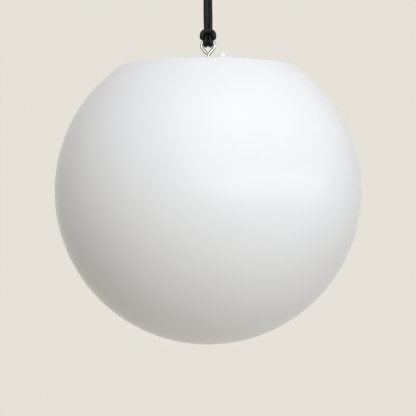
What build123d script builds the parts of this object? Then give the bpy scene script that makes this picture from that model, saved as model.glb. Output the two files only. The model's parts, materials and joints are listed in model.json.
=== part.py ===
from build123d import *
import math
import os

# Outdoor pendant light: an opal globe that hangs by a wire eye from a doubled cord on a ceiling hook.
# Millimetres, +Z up, front towards -Y. The origin is on the ceiling, where the hook's screw goes in.

os.makedirs("parts", exist_ok=True)

# Driving dimensions: globe
globe_diameter = 300.0
flat_margin = 20.25
edge_radius = 12.0
globe_wall = 3.0
collar_depth = 10.0
insert_boss_diameter = 11.0
insert_boss_floor = 1.5

# Driving dimensions: cover
cover_thickness = 3.0
cover_gap = 1.0
seat_width = 15.0
gasket_thickness = 1.0
gasket_margin = 1.0
hub_inset = 3.5
hub_height = 5.0
hub_wall = 3.0
hub_edge_radius = 1.5
centre_boss_diameter = 16.0
rib_thickness = 2.0
rib_pitch = 60.0
spigot_depth = 8.0
spigot_wall = 2.5
spigot_gap = 0.5

# Driving dimensions: cover screws and their inserts
screw_count = 6
screw_diameter = 4.0
screw_end_gap = 1.0
screw_head_diameter = 8.0
screw_head_height = 2.4
screw_head_edge = 1.0
screw_socket_width = 2.5
screw_socket_depth = 1.4
insert_diameter = 6.0
insert_length = 8.0

# Driving dimensions: wire eye and what clamps it
eye_wire = 3.2
eye_inner_width = 9.4
eye_neck_angle = 39.0
eye_bend_radius = 4.0
eye_end_gap = 0.3
eye_thread_above = 1.7
eye_thread_below = 1.5
eye_seal_diameter = 14.0
eye_seal_thickness = 1.5
eye_washer_diameter = 11.0
eye_washer_thickness = 1.0
eye_nut_width = 7.0
eye_nut_height = 3.2
backing_diameter = 26.0
backing_thickness = 2.0
lock_collar_diameter = 6.6
lock_collar_height = 1.8

# Driving dimensions: push switch
switch_inset = 14.0
switch_angle = -60.0
switch_barrel_diameter = 12.0
switch_barrel_length = 15.0
switch_bezel_overhang = 1.5
switch_bezel_height = 2.2
switch_seal_thickness = 0.8
switch_nut_wall = 1.5
switch_nut_height = 2.4
switch_lip = 2.0
switch_chamber_wall = 1.4
terminal_width = 2.6
terminal_thickness = 0.8
terminal_length = 4.0
terminal_pitch = 5.0
button_diameter = 6.7
button_rise = 3.3
button_travel = 2.0
button_stop_gap = 0.2
button_flange_gap = 0.2
button_flange_height = 1.2
button_edge_radius = 1.0

# Driving dimensions: charging port and its flap
port_inset = 15.0
port_angle = 180.0
well_length = 15.0
well_width = 9.0
well_depth = 6.0
well_wall = 1.6
socket_length = 8.9
socket_width = 3.2
socket_height = 6.5
socket_base = 1.5
socket_wall = 0.35
socket_corner = 1.5
tongue_length = 6.6
tongue_width = 0.7
tongue_recess = 0.8
port_board_margin = 3.0
port_board_width = 11.0
port_post_diameter = 5.0
port_post_gap = 0.4
flap_thickness = 2.2
flap_margin = 2.0
flap_rest_gap = 0.2
flap_corner = 2.0
flap_lip_length = 7.0
flap_lip_width = 1.5
flap_lip_corner = 1.35
knuckle_radius = 1.9
knuckle_length = 8.0
ear_width = 2.5
hinge_pin_diameter = 1.5

# Driving dimensions: light engine below the cover
housing_boss_height = 8.0
housing_boss_diameter = 6.5
housing_wall = 2.5
housing_floor = 4.0
flange_width = 6.5
flange_thickness = 3.0
flange_gap = 0.5
flange_screw_angle = 45.0
small_screw_diameter = 2.5
small_screw_head_diameter = 4.5
small_screw_head_height = 1.6
small_screw_grip = 5.0
screw_tip_gap = 0.5
small_screw_count = 4
cell_diameter = 18.4
cell_length = 65.2
cell_space = 0.4
cell_room = 2.0
cell_headroom = 6.1
tray_floor = 1.5
tray_inset = 4.6
tray_side_drop = 1.0
tab_width = 8.0
tab_thickness = 0.3
standoff_diameter = 6.0
standoff_space = 6.4
board_length = 44.0
board_hole_inset = 4.0
board_room = 0.7
board_thickness = 1.6
board_corner = 4.0
plug_length = 8.0
plug_width = 6.0
plug_height = 6.0
plug_inset = 1.0
plug_x = 9.0
plug_y = 16.0
coil_diameter = 9.6
coil_height = 4.8
capacitor_diameter = 8.0
capacitor_height = 9.6
chip_size = 7.0
chip_height = 1.2
chip_y = 5.0
lead_diameter = 2.4
lead_room = 10.0
lead_end_share = 0.35
led_board_inset = 5.0
led_edge = 7.0
led_size = 5.0
led_height = 1.6
led_outer_count = 12
led_inner_count = 6
led_inner_radius = 13.0
led_screw_radius = 21.5
led_screw_count = 3
led_screw_angle = 105.0
led_lead_inset = 6.0
lens_wall = 2.0
lens_overlap = 6.0
lens_skirt = 5.0
lens_dome_depth = 18.0
shoulder_height = 2.0

# Driving dimensions: cord and ceiling hook
cord_diameter = 4.5
cord_drop = 70.0
cord_twist = 60.0
hitch_cord_diameter = 3.85
hitch_lane = 2.15
hitch_rise = 0.3
hitch_top = 10.5
arc_share = 0.45
octagon_turn = 45.0
hook_wire = 4.0
hook_inner_width = 18.0
hook_neck = 10.0
hook_bend_radius = 5.0
hook_mouth_angle = 20.0
hook_collar_diameter = 13.0
hook_collar_thickness = 2.0
hook_screw_length = 20.0
hook_point_length = 4.0
hook_point_diameter = 0.8

# Clearances
hole_gap = 0.05
loose_hole_gap = 0.2
running_gap = 0.08
side_gap = 0.25
cord_gap = 0.3
cut_margin = 1.0

# Radii, from the cells and the board outwards
tray_width = 2 * cell_diameter + cell_space
standoff_y = tray_width / 2 + standoff_space + standoff_diameter / 2
standoff_x = board_length / 2 - board_hole_inset
board_width = 2 * (standoff_y + board_hole_inset)
cell_reach = math.hypot(cell_length, tray_width) / 2 + cell_room
board_reach = math.hypot(board_length, board_width) / 2 + board_room
housing_bore = max(cell_reach, board_reach)
housing_radius = housing_bore + housing_wall
flange_radius = housing_radius + flange_width
spigot_bore = flange_radius + flange_gap
spigot_radius = spigot_bore + spigot_wall
mouth_radius = spigot_radius + spigot_gap
screw_circle_radius = mouth_radius + seat_width / 2
recess_radius = mouth_radius + seat_width
cover_radius = recess_radius - cover_gap
flat_radius = recess_radius + flat_margin
flange_screw_radius = (housing_radius + spigot_bore) / 2
hub_radius = flange_screw_radius - hub_inset
hub_bore = hub_radius - hub_wall
globe_radius = globe_diameter / 2
eye_hole_radius = eye_wire / 2 + hole_gap
lens_bore = housing_radius + loose_hole_gap
lens_radius = lens_bore + lens_wall

# Levels, from the ceiling down
hook_radius = (hook_inner_width + hook_wire) / 2
hook_centre_z = -hook_neck - hook_radius * math.sqrt(2)
hook_seat_z = hook_centre_z - hook_radius
eye_radius = (eye_inner_width + eye_wire) / 2
eye_top_z = hook_seat_z - cord_drop
eye_centre_z = eye_top_z - eye_radius
eye_neck_z = eye_centre_z - eye_radius / math.sin(math.radians(eye_neck_angle))
eye_nut_z = eye_neck_z - eye_thread_above - eye_nut_height
eye_washer_z = eye_nut_z - eye_washer_thickness
hub_top_z = eye_washer_z - eye_seal_thickness
roof_z = hub_top_z - hub_wall
flat_z = hub_top_z - hub_height
under_z = flat_z - cover_thickness
recess_z = under_z - gasket_thickness
screw_tip_z = recess_z - insert_length + screw_end_gap
backing_z = under_z - backing_thickness
lock_nut_z = backing_z - eye_nut_height - lock_collar_height
eye_end_z = lock_nut_z - eye_thread_below
flange_z = under_z - housing_boss_height
bezel_z = hub_top_z + switch_seal_thickness
bezel_top_z = bezel_z + switch_bezel_height
barrel_z = bezel_z - switch_barrel_length
switch_end_z = barrel_z - terminal_length
plug_top_z = switch_end_z - lead_room
board_top_z = plug_top_z - plug_height
board_z = board_top_z - board_thickness
cell_z = board_z - cell_headroom - cell_diameter / 2
floor_z = cell_z - cell_diameter / 2 - tray_floor
housing_z = floor_z - housing_floor
led_board_z = housing_z - board_thickness
globe_centre_z = flat_z - math.sqrt(globe_radius**2 - flat_radius**2)

# Places on the hub
switch_circle_radius = hub_radius - switch_inset
switch_x = switch_circle_radius * math.cos(math.radians(switch_angle))
switch_y = switch_circle_radius * math.sin(math.radians(switch_angle))
port_circle_radius = hub_radius - port_inset
port_x = port_circle_radius * math.cos(math.radians(port_angle))
port_y = port_circle_radius * math.sin(math.radians(port_angle))
port_plane = Plane(
    origin=(port_x, port_y, hub_top_z),
    x_dir=(math.sin(math.radians(port_angle)), -math.cos(math.radians(port_angle)), 0),
    z_dir=(0, 0, 1),
)
port_post_x = well_length / 2 + well_wall + port_post_gap + port_post_diameter / 2


def corner_radii(points):
    """The arc's radius at each inner point: a share of the shorter run over the tangent of half the turn."""
    radii = []
    for before, here, after in zip(points, points[1:], points[2:]):
        run_in = Vector(*here) - Vector(*before)
        run_out = Vector(*after) - Vector(*here)
        half_turn = math.radians(run_in.get_angle(run_out)) / 2
        radii.append(arc_share * min(run_in.length, run_out.length) / math.tan(half_turn))
    return radii


def dome_middle(radius, depth, rim_z):
    """The point halfway along the arc from (radius, rim_z) down to the axis, depth lower."""
    sphere = (radius**2 + depth**2) / (2 * depth)
    half = math.asin(min(1.0, radius / sphere)) / 2
    return (sphere * math.sin(half), rim_z - depth + sphere * (1 - math.cos(half)))


# Globe: one shell of revolution with a recessed seat, a collared mouth and bosses for the inserts
edge_z = flat_z - edge_radius
edge_r = math.sqrt((globe_radius - edge_radius) ** 2 - (edge_z - globe_centre_z) ** 2)
edge_angle = math.degrees(math.atan2(edge_z - globe_centre_z, edge_r))
seat_under_z = recess_z - globe_wall
collar_z = recess_z - collar_depth
with BuildPart() as globe:
    with BuildSketch(Plane.XZ):
        with BuildLine():
            CenterArc((0, globe_centre_z), globe_radius, -90, 90 + edge_angle)
            CenterArc((edge_r, edge_z), edge_radius, edge_angle, 90 - edge_angle)
            Polyline(
                (edge_r, flat_z),
                (recess_radius, flat_z),
                (recess_radius, recess_z),
                (mouth_radius, recess_z),
                (mouth_radius, collar_z),
                (mouth_radius + globe_wall, collar_z),
                (mouth_radius + globe_wall, seat_under_z),
                (recess_radius + globe_wall, seat_under_z),
                (recess_radius + globe_wall, flat_z - globe_wall),
                (edge_r, flat_z - globe_wall),
            )
            CenterArc((edge_r, edge_z), edge_radius - globe_wall, edge_angle, 90 - edge_angle)
            CenterArc((0, globe_centre_z), globe_radius - globe_wall, -90, 90 + edge_angle)
            Line(
                (0, globe_centre_z - globe_radius + globe_wall),
                (0, globe_centre_z - globe_radius),
            )
        make_face()
    revolve(axis=Axis.Z)
    with BuildSketch(Plane.XY.offset(seat_under_z + globe_wall / 2)):
        with PolarLocations(screw_circle_radius, screw_count):
            Circle(insert_boss_diameter / 2)
    extrude(amount=-(insert_length + screw_tip_gap + insert_boss_floor - globe_wall / 2))
    with BuildSketch(Plane.XY.offset(recess_z)):
        with PolarLocations(screw_circle_radius, screw_count):
            Circle(insert_diameter / 2 + hole_gap)
    extrude(amount=-(insert_length + screw_tip_gap), mode=Mode.SUBTRACT)
globe.part.label = "globe"
export_step(globe.part, "parts/globe.step")

# Screw inserts: brass bushes set in the globe's bosses
with BuildPart() as screw_inserts:
    with BuildSketch(Plane.XY.offset(recess_z)):
        with PolarLocations(screw_circle_radius, screw_count):
            Circle(insert_diameter / 2)
            Circle(screw_diameter / 2 + hole_gap, mode=Mode.SUBTRACT)
    extrude(amount=-insert_length)
screw_inserts.part.label = "screw_inserts"
export_step(screw_inserts.part, "parts/screw_inserts.step")

# Cover gasket: a flat rubber ring on the recessed seat
with BuildPart() as cover_gasket:
    with BuildSketch(Plane.XY.offset(recess_z)):
        Circle(cover_radius - gasket_margin)
        Circle(mouth_radius + gasket_margin, mode=Mode.SUBTRACT)
        with PolarLocations(screw_circle_radius, screw_count):
            Circle(screw_diameter / 2 + loose_hole_gap, mode=Mode.SUBTRACT)
    extrude(amount=gasket_thickness)
cover_gasket.part.label = "cover_gasket"
export_step(cover_gasket.part, "parts/cover_gasket.step")

# Cover plate: a disc with a hollow hub, a spigot, ribs, the port's well and the flap's ears
well_floor_z = hub_top_z - well_depth
socket_z = well_floor_z - socket_height
hinge_y = well_width / 2 + flap_margin + knuckle_radius
hinge_z = knuckle_radius + flap_rest_gap
ear_x = knuckle_length / 2 + side_gap + ear_width / 2
with BuildPart() as cover_plate:
    with BuildSketch(Plane.XZ):
        with BuildLine():
            Polyline(
                (0, hub_top_z),
                (hub_radius, hub_top_z),
                (hub_radius, flat_z),
                (cover_radius, flat_z),
                (cover_radius, under_z),
                (spigot_radius, under_z),
                (spigot_radius, under_z - spigot_depth),
                (spigot_bore, under_z - spigot_depth),
                (spigot_bore, under_z),
                (hub_bore, under_z),
                (hub_bore, roof_z),
                (centre_boss_diameter / 2, roof_z),
                (centre_boss_diameter / 2, under_z),
                (0, under_z),
                close=True,
            )
        make_face()
    revolve(axis=Axis.Z)
    hub_edges = cover_plate.edges().filter_by(GeomType.CIRCLE)
    fillet(
        [edge for edge in hub_edges if math.isclose(edge.radius, hub_radius)],
        radius=hub_edge_radius,
    )
    with BuildSketch(Plane.XY.offset(roof_z)):
        for rib in (1, 2, 3, 5):
            with Locations(Rotation(0, 0, switch_angle + rib_pitch * rib)):
                with Locations(((centre_boss_diameter / 2 + hub_bore) / 2, 0)):
                    Rectangle(hub_radius - centre_boss_diameter / 2, rib_thickness)
    extrude(amount=under_z - roof_z)
    with BuildSketch(Plane.XY.offset(under_z)):
        with PolarLocations(flange_screw_radius, small_screw_count, flange_screw_angle):
            Circle(housing_boss_diameter / 2)
    extrude(amount=-housing_boss_height)
    with BuildSketch(port_plane.offset(-hub_wall / 2)):
        Rectangle(well_length + 2 * well_wall, well_width + 2 * well_wall)
    extrude(amount=-(well_depth + well_wall - hub_wall / 2))
    with BuildSketch(port_plane.offset(-hub_wall / 2)):
        with Locations((-port_post_x, 0), (port_post_x, 0)):
            Circle(port_post_diameter / 2)
    extrude(amount=-(well_depth + socket_height - hub_wall / 2))
    with BuildSketch(port_plane):
        Rectangle(well_length, well_width)
    extrude(amount=-well_depth, mode=Mode.SUBTRACT)
    with BuildSketch(port_plane.offset(-well_depth)):
        RectangleRounded(
            socket_length + 2 * loose_hole_gap,
            socket_width + 2 * loose_hole_gap,
            socket_corner,
        )
    extrude(amount=-(well_wall + cut_margin), mode=Mode.SUBTRACT)
    with BuildSketch(port_plane.offset(socket_z - hub_top_z)):
        with Locations((-port_post_x, 0), (port_post_x, 0)):
            Circle(small_screw_diameter / 2 + hole_gap)
    extrude(amount=small_screw_grip, mode=Mode.SUBTRACT)
    with BuildSketch(Plane.XY.offset(flange_z)):
        with PolarLocations(flange_screw_radius, small_screw_count, flange_screw_angle):
            Circle(small_screw_diameter / 2 + hole_gap)
    extrude(amount=small_screw_grip, mode=Mode.SUBTRACT)
    with BuildSketch(Plane.XY.offset(hub_top_z)):
        Circle(eye_hole_radius)
        with Locations((switch_x, switch_y)):
            Circle(switch_barrel_diameter / 2 + loose_hole_gap)
        with PolarLocations(screw_circle_radius, screw_count):
            Circle(screw_diameter / 2 + loose_hole_gap)
    extrude(amount=under_z - hub_top_z - cut_margin, mode=Mode.SUBTRACT)
    for side in (-1, 1):
        ear_plane = Plane(
            origin=port_plane.from_local_coords((side * ear_x, hinge_y, 0)),
            x_dir=port_plane.y_dir,
            z_dir=port_plane.x_dir,
        )
        with BuildSketch(ear_plane.offset(-ear_width / 2)):
            with Locations((0, hinge_z)):
                Circle(knuckle_radius)
            with Locations((0, hinge_z / 2 - hub_wall / 4)):
                Rectangle(2 * knuckle_radius, hinge_z + hub_wall / 2)
            with Locations((0, hinge_z)):
                Circle(hinge_pin_diameter / 2 + hole_gap, mode=Mode.SUBTRACT)
        extrude(amount=ear_width)
cover_plate.part.label = "cover_plate"
export_step(cover_plate.part, "parts/cover_plate.step")

# Cover screws: round heads with a hexagon socket
with BuildPart() as cover_screws:
    with BuildSketch(Plane.XY.offset(flat_z)):
        with PolarLocations(screw_circle_radius, screw_count):
            Circle(screw_head_diameter / 2)
    extrude(amount=screw_head_height)
    fillet(
        cover_screws.faces().filter_by(Plane.XY).group_by(Axis.Z)[-1].edges(),
        radius=screw_head_edge,
    )
    with BuildSketch(Plane.XY.offset(flat_z)):
        with PolarLocations(screw_circle_radius, screw_count):
            Circle(screw_diameter / 2)
    extrude(amount=screw_tip_z - flat_z)
    with BuildSketch(Plane.XY.offset(flat_z + screw_head_height)):
        with PolarLocations(screw_circle_radius, screw_count):
            RegularPolygon(screw_socket_width / 2, 6, major_radius=False)
    extrude(amount=-screw_socket_depth, mode=Mode.SUBTRACT)
cover_screws.part.label = "cover_screws"
export_step(cover_screws.part, "parts/cover_screws.step")

# Eye bolt: one bent wire, from its cut end round the loop and down the shank
neck_cos = math.cos(math.radians(eye_neck_angle))
neck_sin = math.sin(math.radians(eye_neck_angle))
limb_x = eye_radius * neck_cos
limb_z = eye_centre_z - eye_radius * neck_sin
limbs_apart = math.radians(2 * eye_neck_angle)
cut_end_room = (eye_wire / 2 * (1 + math.cos(limbs_apart)) + eye_end_gap) / math.sin(limbs_apart)
with BuildPart() as eye_bolt:
    with BuildLine() as eye_line:
        FilletPolyline(
            (0, 0, eye_end_z),
            (0, 0, eye_neck_z),
            (limb_x, 0, limb_z),
            radius=eye_bend_radius,
        )
        ThreePointArc(
            (limb_x, 0, limb_z),
            (0, 0, eye_top_z),
            (-limb_x, 0, limb_z),
        )
        Line(
            (-limb_x, 0, limb_z),
            (-cut_end_room * neck_sin, 0, eye_neck_z + cut_end_room * neck_cos),
        )
    with BuildSketch(Plane.XY.offset(eye_end_z)):
        Circle(eye_wire / 2)
    sweep(path=eye_line.line)
eye_bolt.part.label = "eye_bolt"
export_step(eye_bolt.part, "parts/eye_bolt.step")

# Eye seal: a rubber washer on the hub
with BuildPart() as eye_seal:
    with BuildSketch(Plane.XY.offset(hub_top_z)):
        Circle(eye_seal_diameter / 2)
        Circle(eye_hole_radius, mode=Mode.SUBTRACT)
    extrude(amount=eye_seal_thickness)
eye_seal.part.label = "eye_seal"
export_step(eye_seal.part, "parts/eye_seal.step")

# Eye washer: a steel washer over the seal
with BuildPart() as eye_washer:
    with BuildSketch(Plane.XY.offset(eye_washer_z)):
        Circle(eye_washer_diameter / 2)
        Circle(eye_hole_radius, mode=Mode.SUBTRACT)
    extrude(amount=eye_washer_thickness)
eye_washer.part.label = "eye_washer"
export_step(eye_washer.part, "parts/eye_washer.step")

# Eye nut: the hexagon nut above the cover
with BuildPart() as eye_nut:
    with BuildSketch(Plane.XY.offset(eye_nut_z)):
        RegularPolygon(eye_nut_width / 2, 6, major_radius=False)
        Circle(eye_hole_radius, mode=Mode.SUBTRACT)
    extrude(amount=eye_nut_height)
eye_nut.part.label = "eye_nut"
export_step(eye_nut.part, "parts/eye_nut.step")

# Backing plate: a steel disc that spreads the load under the hub's boss
with BuildPart() as backing_plate:
    with BuildSketch(Plane.XY.offset(backing_z)):
        Circle(backing_diameter / 2)
        Circle(eye_hole_radius, mode=Mode.SUBTRACT)
    extrude(amount=backing_thickness)
backing_plate.part.label = "backing_plate"
export_step(backing_plate.part, "parts/backing_plate.step")

# Lock nut: a hexagon nut with a round collar below
with BuildPart() as lock_nut:
    with BuildSketch(Plane.XY.offset(backing_z)):
        RegularPolygon(eye_nut_width / 2, 6, major_radius=False)
        Circle(eye_hole_radius, mode=Mode.SUBTRACT)
    extrude(amount=-eye_nut_height)
    with BuildSketch(Plane.XY.offset(backing_z - eye_nut_height)):
        Circle(lock_collar_diameter / 2)
        Circle(eye_hole_radius, mode=Mode.SUBTRACT)
    extrude(amount=-lock_collar_height)
lock_nut.part.label = "lock_nut"
export_step(lock_nut.part, "parts/lock_nut.step")

# Switch seal: a rubber ring under the bezel
bezel_radius = switch_barrel_diameter / 2 + switch_bezel_overhang
with BuildPart() as switch_seal:
    with BuildSketch(Plane.XY.offset(hub_top_z)):
        with Locations((switch_x, switch_y)):
            Circle(bezel_radius)
            Circle(switch_barrel_diameter / 2 + loose_hole_gap, mode=Mode.SUBTRACT)
    extrude(amount=switch_seal_thickness)
switch_seal.part.label = "switch_seal"
export_step(switch_seal.part, "parts/switch_seal.step")

# Switch body: bezel and barrel in one, with the plunger's chamber and two terminals
plunger_bore = button_diameter / 2 + running_gap
chamber_radius = switch_barrel_diameter / 2 - switch_chamber_wall
flange_top_z = bezel_top_z - switch_lip - button_flange_gap
flange_under_z = flange_top_z - button_flange_height
chamber_z = flange_under_z - button_travel - button_stop_gap
switch_plane = Plane(origin=(switch_x, switch_y, 0), x_dir=(1, 0, 0), z_dir=(0, -1, 0))
with BuildPart() as switch_body:
    with BuildSketch(switch_plane):
        with BuildLine():
            Polyline(
                (plunger_bore, bezel_top_z),
                (bezel_radius - switch_bezel_height / 2, bezel_top_z),
                (bezel_radius, bezel_z + switch_bezel_height / 2),
                (bezel_radius, bezel_z),
                (switch_barrel_diameter / 2, bezel_z),
                (switch_barrel_diameter / 2, barrel_z),
                (0, barrel_z),
                (0, chamber_z),
                (chamber_radius, chamber_z),
                (chamber_radius, bezel_top_z - switch_lip),
                (plunger_bore, bezel_top_z - switch_lip),
                close=True,
            )
        make_face()
    revolve(axis=Axis((switch_x, switch_y, 0), (0, 0, 1)))
    with BuildSketch(Plane.XY.offset(barrel_z)):
        with Locations(
            (switch_x - terminal_pitch / 2, switch_y),
            (switch_x + terminal_pitch / 2, switch_y),
        ):
            Rectangle(terminal_thickness, terminal_width)
    extrude(amount=-terminal_length)
switch_body.part.label = "switch_body"
export_step(switch_body.part, "parts/switch_body.step")

# Switch nut: clamps the barrel under the hub's roof
with BuildPart() as switch_nut:
    with BuildSketch(Plane.XY.offset(roof_z)):
        with Locations((switch_x, switch_y)):
            RegularPolygon(switch_barrel_diameter / 2 + switch_nut_wall, 6, major_radius=False)
            Circle(switch_barrel_diameter / 2 + hole_gap, mode=Mode.SUBTRACT)
    extrude(amount=-switch_nut_height)
switch_nut.part.label = "switch_nut"
export_step(switch_nut.part, "parts/switch_nut.step")

# Button: the plunger, kept in by a flange under the bezel's lip
with BuildPart() as button:
    with BuildSketch(Plane.XY.offset(flange_under_z)):
        with Locations((switch_x, switch_y)):
            Circle(chamber_radius - button_flange_gap)
    extrude(amount=button_flange_height)
    with BuildSketch(Plane.XY.offset(flange_top_z)):
        with Locations((switch_x, switch_y)):
            Circle(button_diameter / 2)
    extrude(amount=bezel_top_z + button_rise - flange_top_z)
    fillet(button.faces().sort_by(Axis.Z)[-1].edges(), radius=button_edge_radius)
button.part.label = "button"
export_step(button.part, "parts/button.step")

# Port board: the small board under the well
with BuildPart() as port_board:
    with BuildSketch(port_plane.offset(socket_z - hub_top_z)):
        Rectangle(2 * (port_post_x + port_board_margin), port_board_width)
        with Locations((-port_post_x, 0), (port_post_x, 0)):
            Circle(small_screw_diameter / 2 + loose_hole_gap, mode=Mode.SUBTRACT)
    extrude(amount=-board_thickness)
port_board.part.label = "port_board"
export_step(port_board.part, "parts/port_board.step")

# Port screws: hold the port board to its posts
with BuildPart() as port_screws:
    with BuildSketch(port_plane.offset(socket_z - hub_top_z - board_thickness)):
        with Locations((-port_post_x, 0), (port_post_x, 0)):
            Circle(small_screw_head_diameter / 2)
    extrude(amount=-small_screw_head_height)
    with BuildSketch(port_plane.offset(socket_z - hub_top_z - board_thickness)):
        with Locations((-port_post_x, 0), (port_post_x, 0)):
            Circle(small_screw_diameter / 2)
    extrude(amount=small_screw_grip)
port_screws.part.label = "port_screws"
export_step(port_screws.part, "parts/port_screws.step")

# Charge socket: a metal shell with a tongue, standing on the port board
with BuildPart() as charge_socket:
    with BuildSketch(port_plane.offset(socket_z - hub_top_z)):
        RectangleRounded(socket_length, socket_width, socket_corner)
    extrude(amount=socket_height)
    with BuildSketch(port_plane.offset(-well_depth)):
        RectangleRounded(
            socket_length - 2 * socket_wall,
            socket_width - 2 * socket_wall,
            socket_corner - socket_wall,
        )
    extrude(amount=socket_base - socket_height, mode=Mode.SUBTRACT)
    with BuildSketch(port_plane.offset(socket_z - hub_top_z)):
        Rectangle(tongue_length, tongue_width)
    extrude(amount=socket_height - tongue_recess)
charge_socket.part.label = "charge_socket"
export_step(charge_socket.part, "parts/charge_socket.step")

# Charge flap: a lid with a knuckle and a finger lip
flap_length = well_length + 2 * flap_margin
flap_near_y = hinge_y - knuckle_radius - side_gap
flap_far_y = -well_width / 2 - flap_margin
knuckle_plane = Plane(
    origin=port_plane.from_local_coords((0, hinge_y, hinge_z)),
    x_dir=port_plane.y_dir,
    z_dir=port_plane.x_dir,
)
with BuildPart() as charge_flap:
    with BuildSketch(port_plane.offset(flap_rest_gap)):
        with Locations((0, (flap_near_y + flap_far_y) / 2)):
            RectangleRounded(flap_length, flap_near_y - flap_far_y, flap_corner)
        with Locations((0, (flap_near_y + hinge_y) / 2 - flap_corner / 2)):
            Rectangle(knuckle_length, hinge_y - flap_near_y + flap_corner)
        with Locations((0, flap_far_y)):
            RectangleRounded(flap_lip_length, 2 * flap_lip_width, flap_lip_corner)
    extrude(amount=flap_thickness)
    with BuildSketch(knuckle_plane.offset(-knuckle_length / 2)):
        Circle(knuckle_radius)
    extrude(amount=knuckle_length)
    with BuildSketch(knuckle_plane.offset(-knuckle_length)):
        Circle(hinge_pin_diameter / 2 + running_gap)
    extrude(amount=2 * knuckle_length, mode=Mode.SUBTRACT)
charge_flap.part.label = "charge_flap"
export_step(charge_flap.part, "parts/charge_flap.step")

# Hinge pin: through both ears and the knuckle
pin_length = knuckle_length + 2 * (side_gap + ear_width)
with BuildPart() as hinge_pin:
    with BuildSketch(knuckle_plane.offset(-pin_length / 2)):
        Circle(hinge_pin_diameter / 2)
    extrude(amount=pin_length)
hinge_pin.part.label = "hinge_pin"
export_step(hinge_pin.part, "parts/hinge_pin.step")

# Housing: the cup that carries the battery, the board and the light
shoulder_z = housing_z + lens_overlap
led_lead_y = board_width / 2 - led_lead_inset
with BuildPart() as housing:
    with BuildSketch(Plane.XZ):
        with BuildLine():
            Polyline(
                (0, housing_z),
                (housing_radius, housing_z),
                (housing_radius, shoulder_z),
                (lens_radius, shoulder_z),
                (lens_radius, shoulder_z + shoulder_height),
                (housing_radius, shoulder_z + shoulder_height),
                (housing_radius, flange_z - flange_thickness),
                (flange_radius, flange_z - flange_thickness),
                (flange_radius, flange_z),
                (housing_bore, flange_z),
                (housing_bore, floor_z),
                (0, floor_z),
                close=True,
            )
        make_face()
    revolve(axis=Axis.Z)
    with BuildSketch(Plane.XY.offset(floor_z)):
        with GridLocations(2 * standoff_x, 2 * standoff_y, 2, 2):
            Circle(standoff_diameter / 2)
    extrude(amount=board_z - floor_z)
    with BuildSketch(Plane.XY.offset(board_z)):
        with GridLocations(2 * standoff_x, 2 * standoff_y, 2, 2):
            Circle(small_screw_diameter / 2 + hole_gap)
    extrude(amount=-small_screw_grip, mode=Mode.SUBTRACT)
    with BuildSketch(Plane.XY.offset(flange_z)):
        with PolarLocations(flange_screw_radius, small_screw_count, flange_screw_angle):
            Circle(small_screw_diameter / 2 + loose_hole_gap)
    extrude(amount=-flange_thickness, mode=Mode.SUBTRACT)
    with BuildSketch(Plane.XY.offset(housing_z)):
        with PolarLocations(led_screw_radius, led_screw_count, led_screw_angle):
            Circle(small_screw_diameter / 2 + hole_gap)
    extrude(amount=housing_floor - screw_tip_gap, mode=Mode.SUBTRACT)
    with BuildSketch(Plane.XY.offset(housing_z)):
        with Locations((0, -led_lead_y)):
            Circle(lead_diameter / 2 + loose_hole_gap)
    extrude(amount=housing_floor, mode=Mode.SUBTRACT)
housing.part.label = "housing"
export_step(housing.part, "parts/housing.step")

# Housing screws: up through the flange into the cover's bosses
with BuildPart() as housing_screws:
    with BuildSketch(Plane.XY.offset(flange_z - flange_thickness)):
        with PolarLocations(flange_screw_radius, small_screw_count, flange_screw_angle):
            Circle(small_screw_head_diameter / 2)
    extrude(amount=-small_screw_head_height)
    with BuildSketch(Plane.XY.offset(flange_z - flange_thickness)):
        with PolarLocations(flange_screw_radius, small_screw_count, flange_screw_angle):
            Circle(small_screw_diameter / 2)
    extrude(amount=flange_thickness + small_screw_grip - screw_tip_gap)
housing_screws.part.label = "housing_screws"
export_step(housing_screws.part, "parts/housing_screws.step")

# Cell tray: a cradle for two round cells
tray_length = cell_length - 2 * tray_inset
cell_y = (cell_diameter + cell_space) / 2
with BuildPart() as cell_tray:
    with BuildSketch(Plane.XY.offset(floor_z)):
        Rectangle(tray_length, tray_width)
    extrude(amount=cell_z - tray_side_drop - floor_z)
    with BuildSketch(Plane.YZ.offset(-tray_length)):
        with Locations((-cell_y, cell_z), (cell_y, cell_z)):
            Circle(cell_diameter / 2)
    extrude(amount=2 * tray_length, mode=Mode.SUBTRACT)
cell_tray.part.label = "cell_tray"
export_step(cell_tray.part, "parts/cell_tray.step")

# Cells: two round lithium cells side by side
with BuildPart() as cells:
    with BuildSketch(Plane.YZ.offset(-cell_length / 2)):
        with Locations((-cell_y, cell_z), (cell_y, cell_z)):
            Circle(cell_diameter / 2 - hole_gap)
    extrude(amount=cell_length)
cells.part.label = "cells"
export_step(cells.part, "parts/cells.step")

# Cell tabs: nickel strips across the cells' ends
with BuildPart() as cell_tabs:
    with BuildSketch(Plane.YZ.offset(cell_length / 2)):
        with Locations((0, cell_z)):
            Rectangle(2 * cell_y + tab_width, tab_width)
    extrude(amount=tab_thickness)
    with BuildSketch(Plane.YZ.offset(-cell_length / 2)):
        with Locations((0, cell_z)):
            Rectangle(2 * cell_y + tab_width, tab_width)
    extrude(amount=-tab_thickness)
cell_tabs.part.label = "cell_tabs"
export_step(cell_tabs.part, "parts/cell_tabs.step")

# Control board: on four standoffs above the cells
with BuildPart() as control_board:
    with BuildSketch(Plane.XY.offset(board_z)):
        RectangleRounded(board_length, board_width, board_corner)
        with GridLocations(2 * standoff_x, 2 * standoff_y, 2, 2):
            Circle(small_screw_diameter / 2 + loose_hole_gap, mode=Mode.SUBTRACT)
    extrude(amount=board_thickness)
control_board.part.label = "control_board"
export_step(control_board.part, "parts/control_board.step")

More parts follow.
